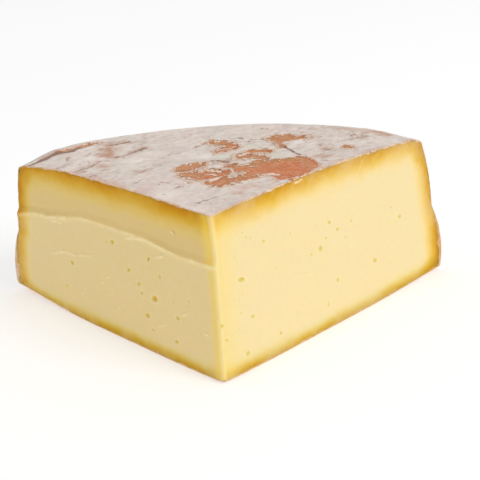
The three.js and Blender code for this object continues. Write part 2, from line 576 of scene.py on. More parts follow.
class SheetOfNodes:
    """A node tree that is filled in step by step."""

    def __init__(self, tree: bpy.types.NodeTree) -> None:
        """Takes the tree to fill."""
        self.tree = tree

    def add(self, kind: str, inputs: dict | None = None, **settings: object) -> Node:
        """Adds a node.

        Args:
            kind: the node's type.
            inputs: values or sockets for its inputs, by name or number.
            settings: its properties.

        Returns:
            The node.
        """
        node = self.tree.nodes.new(kind)
        for name, value in settings.items():
            setattr(node, name, value)
        for name, value in (inputs or {}).items():
            if isinstance(value, Socket):
                self.join(value, node, name)
            else:
                node.inputs[name].default_value = value
        return node

    def join(self, value: Socket, node: Node, name: str | int) -> None:
        """Leads a value into a node's input."""
        self.tree.links.new(value, node.inputs[name])

    def mix(self, factor: object, first: object, second: object, blend: str = "MIX") -> Socket:
        """Mixes two colours.

        Args:
            factor: share of the second, a number or a socket.
            first: the first colour.
            second: the second colour.
            blend: how they are mixed.

        Returns:
            The mixed colour's socket.
        """
        inputs = {0: factor, 6: first, 7: second}
        return self.add("ShaderNodeMix", inputs, data_type="RGBA", blend_type=blend).outputs[2]

    def tint(self, colour: object, mask: Socket, tint: str, amount: float = 1.0) -> Socket:
        """Draws a colour towards a tint.

        Args:
            colour: the colour underneath.
            mask: where the tint lies, from 0 to 1.
            tint: six hexadecimal digits, red, green and blue.
            amount: how strong it is where the mask is 1.

        Returns:
            The tinted colour's socket.
        """
        share = mask if amount == 1.0 else self.math("MULTIPLY", mask, amount)
        return self.mix(share, colour, linear(tint))

    def math(self, operation: str, *values: object) -> Socket:
        """Works out a number from one to three others."""
        return self.add("ShaderNodeMath", dict(enumerate(values)), operation=operation).outputs[0]

    def attribute(self, name: str) -> Socket:
        """A number kept on the piece's vertices."""
        return self.add("ShaderNodeAttribute", attribute_name=name).outputs["Fac"]

    def noise(self, vector: object, scale: object, detail: float = 3.0, rough: float = 0.55) -> Socket:
        """Soft noise from 0 to 1.

        Args:
            vector: where it is read.
            scale: lumps to the metre.
            detail: how many finer layers.
            rough: strength of the finer layers.

        Returns:
            The value's socket.
        """
        inputs = {"Vector": vector, "Scale": scale, "Detail": detail, "Roughness": rough}
        return self.add("ShaderNodeTexNoise", inputs).outputs[0]

    def between(self, value: object, low: float, high: float) -> Socket:
        """Stretches the values from low to high over 0 to 1, smoothly."""
        inputs = {"Value": value, "From Min": low, "From Max": high}
        return self.add("ShaderNodeMapRange", inputs, interpolation_type="SMOOTHSTEP").outputs[0]

    def ramp(self, value: object, stops: Stops) -> Socket:
        """A colour that follows a value.

        Args:
            value: the value, from 0 to 1.
            stops: positions and their colours.

        Returns:
            The colour's socket.
        """
        node = self.add("ShaderNodeValToRGB", {0: value})
        elements = node.color_ramp.elements
        while len(elements) < len(stops):
            elements.new(0.5)
        for element, (position, colour) in zip(elements, stops):
            element.position = position
            element.color = linear(colour)
        return node.outputs[0]

    def emboss(self, shader: Node, height: Socket, strength: float, distance: float) -> None:
        """Gives a shader the relief of a height, at its strength and its depth in metres."""
        inputs = {"Height": height, "Strength": strength, "Distance": distance}
        self.join(self.add("ShaderNodeBump", inputs).outputs[0], shader, "Normal")

    def roughen(self, shader: Node, value: Socket, low: float, high: float) -> None:
        """Gives a shader a roughness that goes from low to high as a value goes from 0 to 1."""
        inputs = {"Value": value, "To Min": low, "To Max": high}
        self.join(self.add("ShaderNodeMapRange", inputs).outputs[0], shader, "Roughness")


class SharedEffects:
    """Node groups that more than one finish uses."""

    def __init__(self) -> None:
        """Builds the groups."""
        self.mottle = self._mottle()
        self.grain = self._grain()

    @staticmethod
    def _group(name: str, ins: dict[str, str], outs: dict[str, str]) -> bpy.types.ShaderNodeTree:
        """Makes an empty group with named sockets."""
        group = bpy.data.node_groups.new(name, "ShaderNodeTree")
        for direction, sockets in (("INPUT", ins), ("OUTPUT", outs)):
            for socket, kind in sockets.items():
                group.interface.new_socket(socket, in_out=direction, socket_type=kind)
        return group

    def _mottle(self) -> bpy.types.ShaderNodeTree:
        """A colour that drifts towards a second one in cloudy blots."""
        sockets = {"Vector": "NodeSocketVector", "Scale": "NodeSocketFloat", "Amount": "NodeSocketFloat",
                   "Colour": "NodeSocketColor", "Tint": "NodeSocketColor"}
        group = self._group("cloudy mottle", sockets, {"Colour": "NodeSocketColor"})
        sheet = SheetOfNodes(group)
        source = sheet.add("NodeGroupInput").outputs
        cloud = sheet.noise(source["Vector"], source["Scale"], 4.0, 0.6)
        share = sheet.math("MULTIPLY", sheet.between(cloud, 0.38, 0.66), source["Amount"])
        mixed = sheet.mix(share, source["Colour"], source["Tint"])
        sheet.add("NodeGroupOutput", {"Colour": mixed})
        return group

    def _grain(self) -> bpy.types.ShaderNodeTree:
        """Fine lumps and pits of a cheese surface, as a height."""
        sockets = {"Vector": "NodeSocketVector", "Scale": "NodeSocketFloat", "Pits": "NodeSocketFloat"}
        group = self._group("fine grain", sockets, {"Height": "NodeSocketFloat"})
        sheet = SheetOfNodes(group)
        source = sheet.add("NodeGroupInput").outputs
        lumps = sheet.noise(source["Vector"], source["Scale"], 5.0, 0.6)
        inputs = {"Vector": source["Vector"], "Scale": source["Scale"]}
        cells = sheet.add("ShaderNodeTexVoronoi", inputs).outputs["Distance"]
        pits = sheet.math("MULTIPLY", sheet.between(cells, 0.0, 0.35), source["Pits"])
        sheet.add("NodeGroupOutput", {"Height": sheet.math("ADD", lumps, pits)})
        return group


@dataclass(frozen=True)
class Finish:
    """What the finishes share: a principled material with its clouds of colour and its grain."""

    effects: SharedEffects
    name: str = "finish"
    roughness: float = 0.5

    def material(self) -> bpy.types.Material:
        """Builds the material.

        Returns:
            The finished material.
        """
        made = bpy.data.materials.new(self.name)
        made.use_nodes = True
        made.node_tree.nodes.clear()
        sheet = SheetOfNodes(made.node_tree)
        vector = sheet.add("ShaderNodeTexCoord").outputs["Object"]
        shader = sheet.add("ShaderNodeBsdfPrincipled", {"Roughness": self.roughness})
        self.paint(sheet, vector, shader)
        sheet.add("ShaderNodeOutputMaterial", {"Surface": shader.outputs[0]})
        return made

    def paint(self, sheet: SheetOfNodes, vector: Socket, shader: Node) -> None:
        """Adds the colours and the relief of one finish. Each finish has its own."""
        raise NotImplementedError

    def clouded(self, sheet: SheetOfNodes, vector: Socket, colour: object, clouds: Clouds) -> Socket:
        """Lays the shared mottle over a colour, once for each cloud.

        Args:
            sheet: the material's nodes.
            vector: where the mottle is read.
            colour: the colour underneath.
            clouds: each cloud's lumps to the metre, its strength and its tint.

        Returns:
            The clouded colour's socket.
        """
        for scale, amount, tint in clouds:
            inputs = {"Vector": vector, "Scale": scale, "Amount": amount,
                      "Colour": colour, "Tint": linear(tint)}
            colour = sheet.add("ShaderNodeGroup", inputs, node_tree=self.effects.mottle).outputs[0]
        return colour

    def grained(self, sheet: SheetOfNodes, vector: Socket, scale: float, pits: float) -> Socket:
        """Places the shared grain with this finish's own values."""
        inputs = {"Vector": vector, "Scale": scale, "Pits": pits}
        return sheet.add("ShaderNodeGroup", inputs, node_tree=self.effects.grain).outputs[0]


@dataclass(frozen=True)
class PasteFinish(Finish):
    """Cut paste: pale and slightly oily inside, gold and firmer towards the rind."""

    name: str = "paste"
    roughness: float = 0.46
    depths: Stops = (
        (0.0, "F4E0AD"), (0.25, "F5DD9F"), (0.45, "F2D07A"), (0.6, "EAC051"),
        (0.75, "DFAB29"), (0.88, "D49B11"), (1.0, "B68428"),
    )
    # Painted shade multiplied over the left cut, strongest on its upper pass, by how gold the paste is.
    painted_shade_stops: Stops = ((0.0, "F1E7CE"), (0.45, "F2ECC6"), (0.75, "F3E484"), (1.0, "F3DA24"))
    clouds: Clouds = ((45, 0.35, "F5DFA8"), (420, 0.10, "F2CE86"))
    # Tints laid over the paste by vertex values: painted light shining through beside the corner, a painted
    # highlight along the corner edge and below the ledge, paler paste the knife tore with its painted
    # highlight, and painted shade in the eyes.
    tints: tuple[tuple[str, str], ...] = (
        ("painted_glow", "FFDC5C"), ("corner", "FFE6A4"), ("ledge", "FEE6AC"), ("torn_and_highlight", "FEE6B4"),
        ("eye", "E0CB46"),
    )

    def paint(self, sheet: SheetOfNodes, vector: Socket, shader: Node) -> None:
        """Pale paste, the gold band, the eyes in olive painted shade and the smeared knife grain, with
        painted shade on the left cut and near the base, and painted light and highlights at the corner and
        the ledge.
        """
        warmth = sheet.attribute("warmth")
        cloud = sheet.noise(vector, 130, 4)
        uneven = sheet.math("MULTIPLY_ADD", sheet.math("SUBTRACT", cloud, 0.5), 0.10, warmth)
        masked = sheet.math("MULTIPLY", uneven, sheet.between(warmth, 0.0, 0.1))
        pale = self.clouded(sheet, vector, sheet.ramp(masked, self.depths), self.clouds)
        # Painted shade: the left cut's colour darkened where the vertex value upper is set.
        painted_shade_colour = sheet.mix(1.0, pale, sheet.ramp(warmth, self.painted_shade_stops), "MULTIPLY")
        colour = sheet.mix(sheet.attribute("upper"), pale, painted_shade_colour)
        # Painted shade near the base: the colour is made less red and a little darker within the foot band.
        colour = sheet.mix(sheet.attribute("foot"), colour, linear("F4FCFF"), "MULTIPLY")
        for name, tint in self.tints:
            colour = sheet.tint(colour, sheet.attribute(name), tint)
        # The deepest part of the eye pits, drawn orange as part of their painted shading.
        deepest = sheet.between(sheet.attribute("eye"), 0.86, 1.0)
        sheet.join(sheet.tint(colour, deepest, "F2BC40"), shader, "Base Color")
        shader.inputs["Subsurface Weight"].default_value = 0.65
        shader.inputs["Subsurface Radius"].default_value = (0.6, 0.42, 0.2)
        shader.inputs["Subsurface Scale"].default_value = 2.8 * MM
        shader.inputs["Specular IOR Level"].default_value = 0.07
        sheet.emboss(shader, self.grained(sheet, vector, 700, 0.25), 0.22, 0.25 * MM)
        sheet.roughen(shader, cloud, 0.40, 0.56)


@dataclass(frozen=True)
class RindFinish(Finish):
    """Washed rind: dusty bloom over orange-brown skin that shows through in worn patches."""

    name: str = "rind"
    roughness: float = 0.82
    bloom_clouds: Clouds = (
        (24, 0.9, "F3DFD4"), (38, 0.6, "E8E1D5"), (75, 0.6, "E0D1CA"), (190, 0.5, "FBF2E9"),
        (340, 0.3, "D6C0B0"),
    )
    skin_clouds: Clouds = ((70, 0.6, "D29060"), (330, 0.55, "EEAE86"), (700, 0.35, "B06A45"))
    flank_clouds: Clouds = ((40, 0.8, "DFC3A4"), (240, 0.6, "C58F5C"))
    section_clouds: Clouds = ((150, 0.9, "DDA566"), (420, 0.5, "CB9F5C"))

    def paint(self, sheet: SheetOfNodes, vector: Socket, shader: Node) -> None:
        """Bloom in greys and pinks, terracotta patches, brown creases darkened with painted shade, painted
        shade round the pale flakes and under the bloom's lip, a painted highlight along the cut edges, and
        the raw edge at the cut.
        """
        lumps, flakes, specks = (
            sheet.math("SUBTRACT", sheet.noise(vector, scale, detail, rough), 0.5)
            for scale, detail, rough in ((110, 4, 0.55), (300, 4, 0.6), (1300, 3, 0.6))
        )
        bare = self._ragged(sheet, "bare", ((lumps, 0.7), (flakes, 0.75), (specks, 0.16)))
        worn = sheet.between(bare, 0.46, 0.5)
        lifted = sheet.math("MULTIPLY", sheet.between(bare, 0.36, 0.43), sheet.between(flakes, -0.1, 0.02))
        curled = sheet.math("MULTIPLY", lifted, sheet.math("SUBTRACT", 1.0, worn))
        # Creases: partly the bloom's own brown, partly painted shade in their grooves.
        crease_brown_and_shade = sheet.between(self._ragged(sheet, "crease", ((flakes, 1.2), (lumps, 0.8))), 0.35, 0.9)
        chipped = self._ragged(sheet, "flake_and_edge_highlight", ((flakes, 1.7), (lumps, 0.8)))
        chip = sheet.between(chipped, 0.54, 0.66)
        # Painted shadow round the pale flakes, away from the cut edges.
        rim = sheet.math("MULTIPLY", sheet.between(chipped, 0.26, 0.42), sheet.attribute("flaky"))
        dots = sheet.between(sheet.math("MULTIPLY_ADD", specks, 0.8, flakes), 0.02, 0.09)
        outline = sheet.math("MULTIPLY", sheet.between(bare, 0.24, 0.36), sheet.between(bare, 0.45, 0.38))

        colour = self._bloom(sheet, vector, lumps, flakes)
        colour = sheet.tint(colour, outline, "E2B79A", 0.7)
        colour = sheet.tint(colour, curled, "FFEBD8", 0.95)
        colour = sheet.mix(worn, colour, self._skin(sheet, vector, bare, lumps, flakes, specks))
        colour = sheet.tint(colour, crease_brown_and_shade, "967462", 0.85)
        colour = sheet.tint(colour, rim, "9E6A4C", 0.5)
        # Cream of the thick flakes, and the painted highlight along the cut edges.
        colour = sheet.tint(colour, chip, "FFE3CE", 0.9)
        colour = sheet.tint(colour, sheet.math("MULTIPLY", dots, sheet.attribute("dotted")), "A8724F", 0.85)
        colour = sheet.tint(colour, sheet.attribute("shade"), "88807A", 0.65)
        colour = sheet.mix(sheet.attribute("edge"), colour, self._section(sheet, vector, worn))
        sheet.join(colour, shader, "Base Color")
        shader.inputs["Specular IOR Level"].default_value = 0.25

        laid = sheet.math("MULTIPLY_ADD", curled, 0.5, sheet.math("MULTIPLY_ADD", worn, -0.35, 0.35))
        thick = sheet.math("MAXIMUM", sheet.math("MULTIPLY", chip, 1.3), laid)
        flaky = sheet.math("MULTIPLY_ADD", flakes, 0.6, thick)
        dented = sheet.math("SUBTRACT", flaky, sheet.math("MULTIPLY", crease_brown_and_shade, 0.8))
        crumpled = sheet.math("MULTIPLY_ADD", sheet.noise(vector, 160, 4), 2.0, dented)
        height = sheet.math("MULTIPLY_ADD", self.grained(sheet, vector, 800, 0.2), 0.25, crumpled)
        sheet.emboss(shader, height, 0.7, 0.7 * MM)
        sheet.roughen(shader, worn, 0.88, 0.62)

    @staticmethod
    def _ragged(sheet: SheetOfNodes, name: str, parts: Sequence[tuple[Socket, float]]) -> Socket:
        """Adds shares of some noises to a number kept on the vertices."""
        value = sheet.attribute(name)
        for noise_value, share in parts:
            value = sheet.math("MULTIPLY_ADD", noise_value, share, value)
        return value

    def _bloom(self, sheet: SheetOfNodes, vector: Socket, lumps: Socket, flakes: Socket) -> Socket:
        """The dusty bloom with its zones, stains, wrinkles drawn as painted shade, and the rubbed flank."""
        bloom = self.clouded(sheet, vector, linear("F5E9E0"), self.bloom_clouds)
        bloom = sheet.tint(bloom, sheet.attribute("mould"), "E9E7D3", 0.55)
        bloom = sheet.tint(bloom, sheet.attribute("pale"), "FFF6EC")
        folded = sheet.add("ShaderNodeMapping", {
            "Vector": vector, "Rotation": (0, 0, math.radians(Cut.RIGHT.value)), "Scale": (2.6, 1, 1),
        }, vector_type="TEXTURE").outputs[0]
        # Wrinkles of the bloom, drawn as thin lines of painted shade where the face is puckered.
        fold = sheet.math("ABSOLUTE", sheet.math("SUBTRACT", sheet.noise(folded, 90, 3), 0.5))
        broken = sheet.math("MULTIPLY", sheet.between(fold, 0.045, 0.0), sheet.between(lumps, -0.06, 0.06))
        wrinkle_shade = sheet.math("MULTIPLY", broken, sheet.attribute("puckered"))
        bloom = sheet.tint(bloom, wrinkle_shade, "B8978A", 0.75)
        blush = sheet.math("MULTIPLY", sheet.attribute("blush"), sheet.between(lumps, -0.12, 0.12))
        bloom = sheet.tint(bloom, blush, "F0D2CC", 0.6)
        stain = sheet.math("MULTIPLY", sheet.attribute("stain"), sheet.between(lumps, -0.16, 0.1))
        bloom = sheet.tint(bloom, stain, "CFA389")
        flank = self.clouded(sheet, vector, linear("D9AC7C"), self.flank_clouds)
        rubbed = sheet.between(self._ragged(sheet, "flank", ((lumps, 1.6), (flakes, 1.3))), 0.2, 1.05)
        thin = sheet.math("MULTIPLY", sheet.attribute("flank"), 0.35)
        return sheet.mix(sheet.math("MAXIMUM", thin, rubbed), bloom, flank)

    def _skin(self, sheet: SheetOfNodes, vector: Socket, bare: Socket,
              lumps: Socket, flakes: Socket, specks: Socket) -> Socket:
        """The orange-brown skin under the bloom, with pale specks and painted shade along its rim under the
        bloom's lip.
        """
        skin = sheet.mix(sheet.attribute("brown"), linear("E27C4B"), linear("CB9463"))
        skin = self.clouded(sheet, vector, skin, self.skin_clouds)
        sprinkle = sheet.between(sheet.math("MULTIPLY_ADD", specks, 0.7, flakes), 0.13, 0.22)
        skin = sheet.tint(skin, sprinkle, "F3DCC6", 0.8)
        # Painted shade just inside the worn patch, under the bloom's lip.
        under = sheet.math("MULTIPLY", sheet.between(bare, 0.61, 0.54), sheet.between(lumps, -0.06, 0.05))
        return sheet.tint(skin, under, "A96F4C", 0.3)

    def _section(self, sheet: SheetOfNodes, vector: Socket, worn: Socket) -> Socket:
        """The rind's raw thickness where the knife went through it."""
        section = sheet.mix(sheet.attribute("flank"), linear("F3D6BE"), linear("E8C68A"))
        section = self.clouded(sheet, vector, section, self.section_clouds)
        return sheet.tint(section, worn, "CC7C4C", 0.7)


@dataclass(frozen=True)
class CrumbFinish(Finish):
    """Crumbs: dry flakes of bloom, some with paste on them."""

    name: str = "crumb"
    roughness: float = 0.8

    def paint(self, sheet: SheetOfNodes, vector: Socket, shader: Node) -> None:
        """Pale flakes with a warm tint that differs from crumb to crumb."""
        colour = self.clouded(sheet, vector, linear("FFEBCB"), ((220, 0.9, "F3CFA4"),))
        sheet.join(colour, shader, "Base Color")
        sheet.emboss(shader, self.grained(sheet, vector, 1800, 0.3), 0.4, 0.15 * MM)


@dataclass
class Piece:
    """What every piece shares: its name, a slot name that is kept but not applied to the object, and how it
    joins the frame.
    """

    form: WheelForm
    effects: SharedEffects
    name: str = "piece"
    slot: str = "paste"

    def finished(self, mesh: BMesh, finish: Finish) -> bpy.types.Object:
        """Turns a bmesh into a smooth object with its material.

        Args:
            mesh: the shape; it is freed.
            finish: the finish it gets.

        Returns:
            The object, riding on the body.
        """
        data = bpy.data.meshes.new(self.name)
        mesh.to_mesh(data)
        mesh.free()
        data.shade_smooth()
        data.materials.append(finish.material())
        piece = bpy.data.objects.new(self.name, data)
        bpy.context.scene.collection.objects.link(piece)
        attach(piece, BODY)
        log.info("%s: %d faces", self.name, len(data.polygons))
        return piece


@dataclass
class Paste(Piece):
    """The cheese itself, with the two cut faces modelled finely and the rest under the rind."""

    name: str = "paste"
    slot: str = "paste"
    cells: int = 12
    rows: int = 6
    cuts: int = 23
    inset: float = 0.6
    top_band: float = 15 * MM
    base_band: float = 9.2 * MM
    side_band: float = 14.5 * MM
    foot_shade_band: float = 11 * MM
    eye_depth: float = 0.22
    eye_edge: float = 0.88
    halo: float = 0.04 * MM
    drag: float = 0.03 * MM
    tear: float = 0.06 * MM
    scratch_height: float = 2.8 * MM
    # Reach of the painted light that shines through beside the corner, above and below the ledge, and on
    # the right cut.
    painted_glow_above: float = 9 * MM
    painted_glow_below: float = 7 * MM
    painted_glow_right: float = 16 * MM
    eyes: list[Eye] = field(default_factory=eyes_in_view)
    scratches: list[Scratch] = field(default_factory=knife_scratches)

    def build(self) -> bpy.types.Object:
        """Builds the paste and dresses it.

        Returns:
            The finished piece.
        """
        block = UnitBlock(self.cells, self.rows)
        block.refine([Zone.CUTS], self.cuts)
        block.bend(self.form, self.inset)
        self._dress(block.mesh)
        piece = self.finished(block.mesh, PasteFinish(self.effects))
        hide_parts(NODE)
        return piece

    def _dress(self, mesh: BMesh) -> None:
        """Moves the cut faces' vertices to the knife's relief and keeps their colour values."""
        layers = mesh.verts.layers
        grid_layer = layers.float_vector[GRID_LAYER]
        names = ("warmth", "eye", "painted_glow", "upper", "torn_and_highlight", "ledge", "foot", "corner")
        stores = {name: layers.float.new(name) for name in names}
        for vert in mesh.verts:
            grid = vert[grid_layer]
            point = vert.co.copy()
            right, left = self.form.polar(point)
            values = {
                "warmth": self._warmth(grid, point),
                # Painted shade near the base, full at 3 mm up and gone at the foot band's height.
                "foot": ease(self.foot_shade_band, 3 * MM, point.z),
                # Painted highlight along the corner edge where the two cuts meet.
                "corner": 0.66 * ease(2.1 * MM, 0.5 * MM, right + left),
            }
            vert.co = self.form.shifted(point)
            if grid.y < TINY:
                relief, marks = self._relief(Cut.RIGHT, right, point.z)
                vert.co -= Cut.LEFT.along * relief
                values.update(marks)
                # Painted light shining through the paste beside the corner, on the right cut.
                values["painted_glow"] = 0.3 * ease(self.painted_glow_right, 0.0, right)
            if grid.x < TINY:
                relief, marks = self._relief(Cut.LEFT, left, point.z)
                vert.co -= Cut.RIGHT.along * relief
                values.update(marks)
                values.update(self._left_values(left, point.z, values["warmth"]))
            for name, value in values.items():
                vert[stores[name]] = value

    def _warmth(self, grid: Vector, point: Vector) -> float:
        """How gold the paste is, from 0 deep inside to 1 at the rind."""
        side = self.form.outline(grid.z)
        radius = (point - self.form.axis).xy.length
        angle = 0.0 if grid.y < TINY else math.pi / 2
        ragged = 1 + 0.16 * ripple(point, 22 * MM, 3, 4.0) + 0.06 * ripple(point, 5 * MM, 2, 9.0)
        depths = (
            (self.form.top(min(radius, self.form.top_radius), angle) - point.z, self.top_band),
            (point.z - self.form.base(radius), self.base_band),
            (side.x - self.form.side_skin(side.y) + self.form.rind_side - radius, self.side_band),
        )
        pale = 1.0
        for depth, band in depths:
            pale *= 1 - max(0.0, 1 - max(depth, 0.0) / (band * ragged))
        return 1 - pale

    def _relief(self, cut: Cut, radius: float, height: float) -> tuple[float, dict[str, float]]:
        """The fine relief of a cut.

        Args:
            cut: which cut.
            radius: distance from the axis.
            height: height above the ground.

        Returns:
            How far the surface stands out, and its values of painted shade in the eyes, and of paste that
            the knife tore, paler and with a painted highlight on the raised lines and eye rims.
        """
        flat = Vector((radius, height))
        drag = ripple(Vector((radius * 0.18, height, cut.value)), 1.6 * MM, 2)
        tear = ripple(Vector((radius, height, cut.value)), 9 * MM, 3, 2.0)
        relief = self.drag * drag + self.tear * tear
        torn_and_highlight = 0.0
        for scratch in self.scratches:
            if scratch.cut is cut:
                broken = 0.7 + 0.7 * ripple(Vector((radius, height, 5)), 1.8 * MM, 2)
                shown = scratch.strength(flat) * min(max(broken, 0.0), 1.3)
                relief += self.scratch_height * shown * scratch.lift
                # Paler paste along the knife's lines, partly the crumbled paste's own colour, partly a
                # painted highlight on the raised ridges.
                torn_and_highlight = max(torn_and_highlight, shown * min(1.0, scratch.lift * 9))
        eye = 0.0
        # Painted shade in the eye pits, allowed darker on the left cut, which is in shade.
        darkest = 1.0 if cut is Cut.LEFT else 0.72
        for hole in self.eyes:
            if hole.cut is cut and hole.near(radius, height):
                uneven = self.eye_edge + 0.25 * ripple(Vector((radius, height, hole.width)), 0.9 * MM, 2)
                reach = hole.reach(radius, height) * uneven
                sunk = max(0.0, 1 - reach ** 2.5)
                relief -= sunk * self.eye_depth * hole.width * MM
                eye = max(eye, min(darkest, sunk * (0.5 + 0.17 * hole.width)))
                rim = ease(1.75, 1.1, reach) * ease(0.75, 1.1, reach) * min(1.0, hole.width / 2.2)
                relief += rim * self.halo
                # Painted highlight on the raised rim round the eye.
                torn_and_highlight = max(torn_and_highlight, 0.4 * rim)
        return relief, {"eye": eye, "torn_and_highlight": min(torn_and_highlight, 1.0)}

    def _left_values(self, left: float, height: float, warmth: float) -> dict[str, float]:
        """Values that only the left cut has: painted shade over the cut, full on its upper pass, painted
        light beside the corner, and a painted highlight below the ledge.

        Args:
            left: distance from the axis.
            height: height above the ground.
            warmth: how gold the paste is there.

        Returns:
            The values by name.
        """
        line = self.form.ledge_line(left)
        upper = ease(line - 0.1 * MM, line + 0.4 * MM, height)
        reach = self.painted_glow_above if upper > 0.5 else self.painted_glow_below
        start = 2.6 * MM if upper > 0.5 else 1.6 * MM
        # Painted light shining through the paste from the bright right cut, on the left cut beside the
        # corner.
        painted_glow = ease(reach, start, left) * ease(-0.6 * start, start, left)
        crumbly = 0.6 + 0.9 * ripple(Vector((left, height, 3)), 6 * MM, 3)
        # Painted highlight on the lower pass's lip just below the ledge.
        below = ease(line - 2.8 * MM, line - 0.2 * MM, height) * ease(line + 0.5 * MM, line, height)
        ledge = below * min(max(crumbly, 0.25), 1.0) * (0.6 + 0.4 * ease(75 * MM, 50 * MM, left))
        return {
            # The left cut's painted shade: full on the upper pass, 0.42 of it over the rest of the cut
            # where the paste is pale.
            "upper": max(upper, 0.42 * (1 - warmth)),
            "painted_glow": (0.6 if upper > 0.5 else 0.55) * painted_glow,
            "ledge": ledge,
        }


@dataclass(frozen=True)
class Blot:
    """A worn place in the bloom, outlined in plan millimetres from the axis."""

    outline: tuple[tuple[float, float], ...]
    brown: float = 0.0
    spread: float = 0.0
    reach: float = 6.0

    def depth(self, place: Vector) -> float:
        """How far inside the outline a place lies.

        Args:
            place: the place in plan, in millimetres.

        Returns:
            The distance to the outline, widened by the spread, negative outside it.
        """
        xs, ys = zip(*self.outline)
        if not min(xs) - self.reach < place.x < max(xs) + self.reach:
            return -self.reach
        if not min(ys) - self.reach < place.y < max(ys) + self.reach:
            return -self.reach
        corners = [Vector(corner) for corner in self.outline]
        inside = False
        for a, b in zip(corners, corners[1:] + corners[:1]):
            if (a.y > place.y) != (b.y > place.y):
                if place.x < a.x + (place.y - a.y) / (b.y - a.y) * (b.x - a.x):
                    inside = not inside
        distance = min(distance_to_line(place, corners + corners[:1]), self.reach)
        return self.spread + (distance if inside else -distance)


@dataclass(frozen=True)
class Stroke:
    """A crease or a stain along a bent line, in plan millimetres from the axis."""

    half_width: float
    strength: float
    bends: tuple[tuple[float, float], ...]

    def value(self, place: Vector) -> float:
        """Strength at a place: full on the line, none beyond twice the half width."""
        xs, ys = zip(*self.bends)
        margin = 2 * self.half_width
        if not min(xs) - margin < place.x < max(xs) + margin:
            return 0.0
        if not min(ys) - margin < place.y < max(ys) + margin:
            return 0.0
        distance = distance_to_line(place, [Vector(bend) for bend in self.bends])
        return self.strength * max(0.0, 1 - distance / margin)


def worn_blots() -> list[Blot]:
    """Where the terracotta skin shows through the bloom of the upper face."""
    return [
        Blot(((5, 60), (7, 62), (11, 59), (18.5, 62), (28, 63), (36, 63), (37, 65), (40, 64.5), (42, 60),
              (44, 55), (45.5, 50.5), (43, 46.5), (39, 42), (35, 34), (33.5, 32), (30, 35), (27.5, 34.5),
              (23.5, 41.5), (22, 44), (20, 42), (15, 46), (13, 46.5), (9, 51.5), (5.5, 57))),
        Blot(((9, 36.5), (9, 40), (13, 44.5), (16, 45.5), (18.5, 43), (16, 39.5), (13, 36.5)), 0.7, 0.8),
        Blot(((-17, 57.5), (-16, 61), (-13, 63), (-10, 65), (-5.5, 65), (-5, 62), (-10.5, 58.5),
              (-15.5, 55.5)), 0.9, 0.8),
        Blot(((-14, 52), (-12, 55.5), (-9, 54.5), (-7, 52), (-4, 54.5), (-1, 53.5), (2, 51), (4.6, 50.3),
              (4.2, 46.6), (-0.7, 44.5), (-6.6, 43.4), (-9.4, 45.4), (-13.7, 49)), 0.1, 1.5),
        Blot(((-1.5, 37), (0.6, 38.4), (2, 42), (5, 42.6), (7, 40.8), (7, 37.4), (5.4, 34.6), (3, 34),
              (0.6, 35.4)), 0.6, 1.5),
        Blot(((8, 71.5), (10.5, 76.5), (13, 77), (15.5, 74.5), (22, 69.5), (23.6, 65.7), (20.8, 65),
              (15, 68.5), (10.6, 68.5)), 0.9),
        Blot(((23.5, 103), (25, 106.3), (27.6, 107.3), (34, 105), (36.6, 102.7), (41.6, 102), (41.6, 99),
              (36.9, 97), (31, 95.5), (30.5, 90), (32, 85), (30, 86), (28.5, 92), (26, 97.5)), 0.85),
        Blot(((-79, 101), (-73.6, 104.4), (-66, 108.8), (-62, 111.4), (-62.4, 108.4), (-66.5, 105),
              (-74, 101.6)), 0.4),
        Blot(((59.5, 83), (62.5, 82), (64, 77.5), (61.5, 75.5), (59, 78)), 1.0, -1.0),
        Blot(((-5.5, 100.5), (-2.5, 102.6), (1.8, 103), (5, 101.2), (5.9, 97.3), (2.6, 95), (-0.4, 95.3),
              (-4, 97.5)), 1.0),
        Blot(((-0.7, 85.3), (2.1, 88.4), (5.6, 92.3), (8, 94), (8.8, 89), (5.7, 86.7), (2.8, 84),
              (0.5, 83)), 0.4, 1.3),
        Blot(((13, 79), (16, 80.5), (20, 79.5), (24, 77.5), (21, 76.6), (16, 77.6)), 0.2, 0.7),
    ]


def tan_tinges() -> list[Stroke]:
    """Where the bare skin is tan instead of orange."""
    return [
        Stroke(2.2, 1.3, ((10, 58), (18, 61), (28, 62.5), (38, 63))),
        Stroke(2.5, 1.2, ((-14, 50.5), (-8, 48))),
        Stroke(1.5, 1.1, ((39, 60), (41, 52))),
        Stroke(1.4, 1.4, ((29, 92), (31.5, 85))),
    ]


